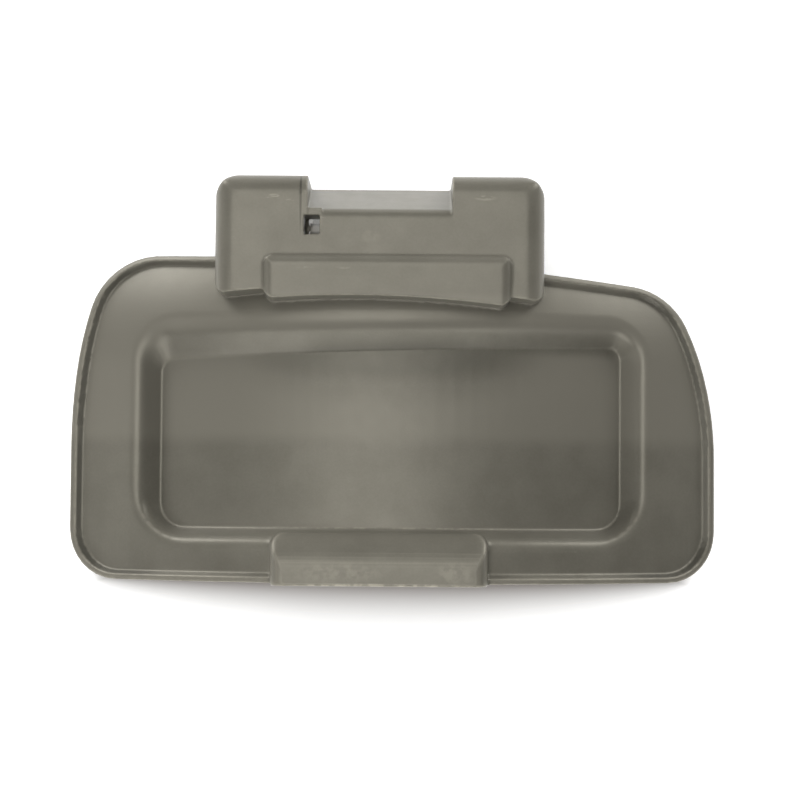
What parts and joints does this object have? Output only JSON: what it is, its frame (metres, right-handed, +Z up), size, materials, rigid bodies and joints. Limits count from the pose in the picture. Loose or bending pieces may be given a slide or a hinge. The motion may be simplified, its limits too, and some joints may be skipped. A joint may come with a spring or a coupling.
{
  "type": "side discharge cover",
  "caption": "Arched moulded plastic flap with a raised rim, a recessed panel, a finger grip and a hollow hinge housing, for the side outlet of a lawn mower deck.",
  "frame": {"origin": "on the table, below the middle of the part's outline", "axes": "+X along the hinge towards the shorter shoulder, +Y from the grip to the hinge, +Z up, away from the mower"},
  "size_m": [0.2984, 0.1818, 0.0631],
  "materials": {
    "plastic": "fine moulded texture, dark grey-brown"
  },
  "bodies": {
    "root": {"discharge_cover": "plastic"}
  },
  "joints": []
}
